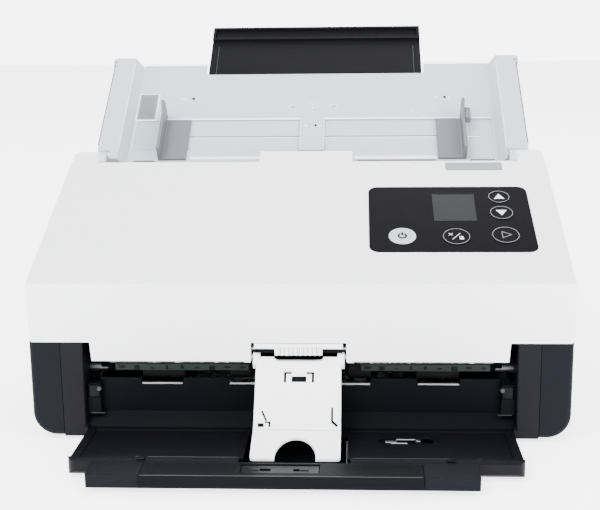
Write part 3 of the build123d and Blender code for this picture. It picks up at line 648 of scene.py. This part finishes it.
# ------------------------------------------------------------------ output tray and its extensions
def add_output_tray_details():
    body = "out_tray"
    clip = settle(dished_block("lip_clip", body_point(-83.5, -54.6, 9.15), (5.0, 3.4, 1.0), 0.7, 0.4),
                  gloss_black, body, "gloss_black")
    # Painted glint on each clip's edge.
    clip_edge = settle(block("lip_clip_edge", body_point(-85.5, -53.2, 9.5), (2.2, 0.6, 0.4), 0, 0.1),
                       glint_grey, body, "side_charcoal")
    for piece in (clip, clip_edge):
        spread(piece, across_by(167.5))
    # Painted highlight along the lip's top edges.
    for x0, x1 in ((-80.0, -31.5), (31.5, 81.0)):
        settle(block("lip_edge", body_point((x0 + x1) / 2, -51.9, 9.0), (x1 - x0, 0.45, 0.35), 0, 0.12),
               glint_grey, body, "side_charcoal")
    tongue_out = 29.8
    tongue = settle(block("tongue_edge", body_point(-tongue_out, -21.0, -0.46), (3.5, 69.0, 0.8), 0, 0.1),
                    deep_black_and_painted_shade, "lower_unit", "body_black")
    spread(tongue, across_by(2 * tongue_out))
    settle(block("hook_plate", body_point(53.0, -19.4, 5.4), (6.4, 2.6, 0.9), 0.12, 0.3), ground_steel,
           body, "steel")
    settle(block("hook_arm", body_point(61.5, -16.2, 5.5), (11.0, 1.2, 0.8), -0.1, 0.3), ground_steel,
           body, "steel")
    settle(stud("hook_pivot", body_point(68.4, -18.2, 5.4), 1.6, 1.4, "Z"), ground_steel, body, "steel")
    settle(stud("hook_spring", body_point(57.5, -21.6, 5.2), 0.7, 9.0, "X"), ground_steel, body, "steel")
    settle(stroke("tray_mark_long", body_point(99.0, -47.0, 6.1), 6.0, 0.5, 0.12, 0, 0.3), glint_grey,
           body, "side_charcoal")
    settle(stroke("tray_mark_short", body_point(101.0, -45.4, 6.1), 2.4, 0.5, -0.5, 0, 0.3), glint_grey,
           body, "side_charcoal")


def add_extension_details():
    grip = "out_grip"
    # Painted highlight lines along the grip's front edges.
    settle(block("grip_front_edge", body_point(-6.2, -76.05, 8.7), (148.6, 0.6, 0.5), 0, 0.15), glint_grey,
           grip, "side_charcoal")
    settle(block("grip_dent", body_point(-22.5, -76.18, 6.9), (15.0, 0.4, 1.1), 0, 0.1), side_charcoal,
           grip, "side_charcoal")
    settle(block("grip_low_line", body_point(-6.2, -76.26, 4.2), (147.0, 0.25, 0.3), 0, 0.08), glint_grey,
           grip, "side_charcoal")
    settle(stroke("grip_seam", body_point(62.5, -68.0, 8.72), 15.0, 0.35, radians(-66), 0, 0.1),
           deep_black_and_painted_shade, grip, "body_black")
    settle(dished_block("stop_pocket_rim", body_point(-7.0, -60.9, 8.75), (42.6, 1.4, 0.3), 0.3, 0.1),
           side_charcoal, grip, "side_charcoal")
    lug = settle(block("stop_finger_lug", body_point(-21.0, -67.4, 8.55), (5.2, 2.0, 0.7), 0, 0.3),
                 gloss_black, "stopper", "gloss_black")
    spread(lug, across_by(27.0))
    # Painted highlight along the stopper's top edge.
    settle(block("stop_top_line", body_point(-7.0, -64.2, 8.65), (38.0, 0.35, 0.25), 0, 0.08), glint_grey,
           "stopper", "side_charcoal")


add_board_strips()
add_recess_details()
add_output_tray_details()
add_extension_details()


# ------------------------------------------------------------------ input tray
def tray_bar(name, across, along, height, size, finish, record_slot, body="lower_unit", soften=0.12):
    """Rounded bar lying along the slope of the input tray."""
    return settle(block(name, on_tray(across, along, height), size, tray_slope, soften), finish, body,
                  record_slot)


def add_tray_edges():
    for x0, x1 in ((-104.0, -8.6), (8.0, 124.6)):
        tray_bar("recess_bead", (x0 + x1) / 2, 53.6, 0.06, (x1 - x0, 1.5, 0.4), shine_white,
                 "white_shell")
        tray_bar("recess_shadow_line", (x0 + x1) / 2, 52.5, 0.02, (x1 - x0, 0.3, 0.1), guide_grey,
                 "guide_grey")
    for x0, x1 in ((-117.0, -9.0), (9.0, 116.0)):
        tray_bar("slot_bead", (x0 + x1) / 2, 35.5, -0.95, (x1 - x0, 0.6, 0.3), shine_white,
                 "white_shell")
    for x0, x1 in ((-83.0, -34.0), (29.0, 85.0)):
        tray_bar("feed_ledge", (x0 + x1) / 2, 14.1, 0.05, (x1 - x0, 2.6, 0.4), shine_white,
                 "white_shell")
    tray_bar("glide_panel", -114.6, 37.0, -0.93, (17.4, 28.6, 0.3), glide_pale, "tray_white")
    spread(tray_bar("bar_edge", -8.2, 37.0, 0.85, (0.45, 31.0, 0.4), shine_white, "white_shell"),
           across_by(16.4))
    spread(tray_bar("recess_end_line", -124.8, 37.0, -0.4, (0.5, 31.0, 0.5), shine_white,
                    "white_shell"), across_by(250.0))


def add_feed_comb():
    """Rows of small teeth along the feed slot."""
    for x0, count in ((32.0, 44), (108.0, 14), (-121.0, 12)):
        tooth = block("feed_comb", on_tray(x0, 11.1, 0.3), (0.62, 1.1, 0.6), tray_slope, 0.08, 1)
        add_row(tooth, count, 1.2)
        settle(tooth, deep_black_and_painted_shade, "lower_unit", "body_black")


def add_latch_windows():
    """Small latch windows in the tray floor, the first one copied to the other two places."""
    places = ((-88.0, 75.5, 0.0), (92.0, 75.5, 0.0), (1.0, 45.5, 0.85))
    across, along, height = places[0]
    moves = [on_tray(*place) - on_tray(*places[0]) for place in places[1:]]
    window = [tray_bar("window_tongue", across - 0.6, along, height - 0.1, (4.4, 3.2, 0.5), tray_white,
                       "tray_white"),
              tray_bar("window_dot", across + 1.2, along + 0.2, height + 0.12, (1.3, 1.9, 0.25),
                       deep_black_and_painted_shade, "body_black", soften=0.06)]
    for offset, length in ((-5.0, 3.4), (4.2, 2.4)):
        window.append(tray_bar("window_bar", across + offset, along, height + 0.05, (length, 0.9, 0.4),
                               shine_white, "white_shell"))
    for offset in (-2.0, 2.2):
        window.append(tray_bar("window_lip", across, along + offset, height + 0.05, (5.0, 0.4, 0.3),
                               shine_white, "white_shell"))
    for piece in window:
        spread(piece, moves)


def add_embossed_marks():
    body = "lower_unit"
    left, right = -14.5, 14.4
    spread(settle(ring("embossed_ring", on_tray(left, 66.2, 0.0), tray_slope, 2.7, 0.4, 0.18),
                  shine_white, body, "white_shell"), across_by(right - left))
    spread(settle(stroke("embossed_stroke", on_tray(left, 66.2, 0.05), 4.0, 0.5, radians(40), tray_slope,
                         0.2), guide_light, body, "guide_grey"), across_by(right - left))
    settle(triangle("embossed_sheet", on_tray(0.8, 66.4, 0.0), tray_slope, 3.1, radians(30), 0.45, 0.2),
           shine_white, body, "white_shell")
    for across, along, length in ((0.0, 70.6, 7.0), (-3.2, 67.0, 0.8), (0.4, 61.0, 2.4),
                                  (70.0, 61.6, 3.4), (77.5, 61.4, 2.2), (85.5, 61.4, 5.2),
                                  (109.0, 65.0, 4.2)):
        settle(stroke("embossed_line", on_tray(across, along, 0.03), length, 0.45, 0, tray_slope, 0.2),
               shine_white, body, "white_shell")


def add_rail_details():
    """Rounded caps, edge lines and hinge knuckles, modelled on the left and copied to the right."""
    spread(tray_bar("rail_cap", -139.6, 107.6, 6.6, (16.4, 7.0, 5.6), tray_white, "tray_white",
                    soften=1.6), across_by(2 * 139.6))
    spread(tray_bar("rail_cap_mark", -145.2, 106.0, 9.35, (2.2, 1.6, 0.3), guide_light, "guide_grey"),
           across_by(2 * 145.2))
    spread(tray_bar("rail_outer_line", -145.9, 62.0, 8.1, (0.7, 86.0, 1.2), side_charcoal,
                    "side_charcoal"), across_by(2 * 145.9))
    spread(tray_bar("rail_fold_bead", -131.2, 60.0, 8.95, (0.5, 90.0, 0.4), shine_white, "white_shell"),
           across_by(2 * 131.2))
    spread(settle(stud("lid_hinge_knuckle", body_point(-136.9, 129.0, 146.5), 5.6, 4.2), tray_white,
                  "lower_unit", "tray_white"), across_by(2 * 136.9))


def add_wear_pad_ribs():
    tray_bar("wear_pad_rim", -118.5, 66.7, 0.12, (15.0, 28.6, 0.5), shine_white, "white_shell")
    rib = block("wear_pad_ribs", on_tray(-123.4, 66.7, 0.62), (0.45, 23.0, 0.3), tray_slope, 0.08, 1)
    add_row(rib, 10, 1.08)
    settle(rib, guide_grey, "lower_unit", "pad_grey")


def add_guide_details():
    tray_bar("guide_spring_box", 107.2, 46.5, 9.0, (3.9, 10.5, 5.6), guide_grey, "guide_grey",
             "guide_right", 0.5)
    line = tray_bar("guide_foot_line", -102.3, 33.0, 1.62, (0.5, 36.0, 0.3), guide_light, "guide_grey",
                    "guide_left", 0.1)
    spread(line, across_by(2 * 102.3), "guide_right")


def add_tray_extension_details():
    body = "in_extension"
    # Each groove is drawn as a painted highlight line beside a painted shade line.
    groove = tray_bar("extension_groove", -73.2, 121.5, -3.57, (0.5, 36.0, 0.14), glint_grey,
                      "extension_dark", body, 0.05)
    spread(groove, across_by(2 * 73.2))
    shade = tray_bar("extension_groove_shade", -74.0, 121.5, -3.57, (0.5, 36.0, 0.12), deep_black_and_painted_shade,
                     "body_black", body, 0.05)
    spread(shade, across_by(2 * 74.0))


add_tray_edges()
add_feed_comb()
add_latch_windows()
add_embossed_marks()
add_rail_details()
add_wear_pad_ribs()
add_guide_details()
add_tray_extension_details()

add_camera()
add_studio()
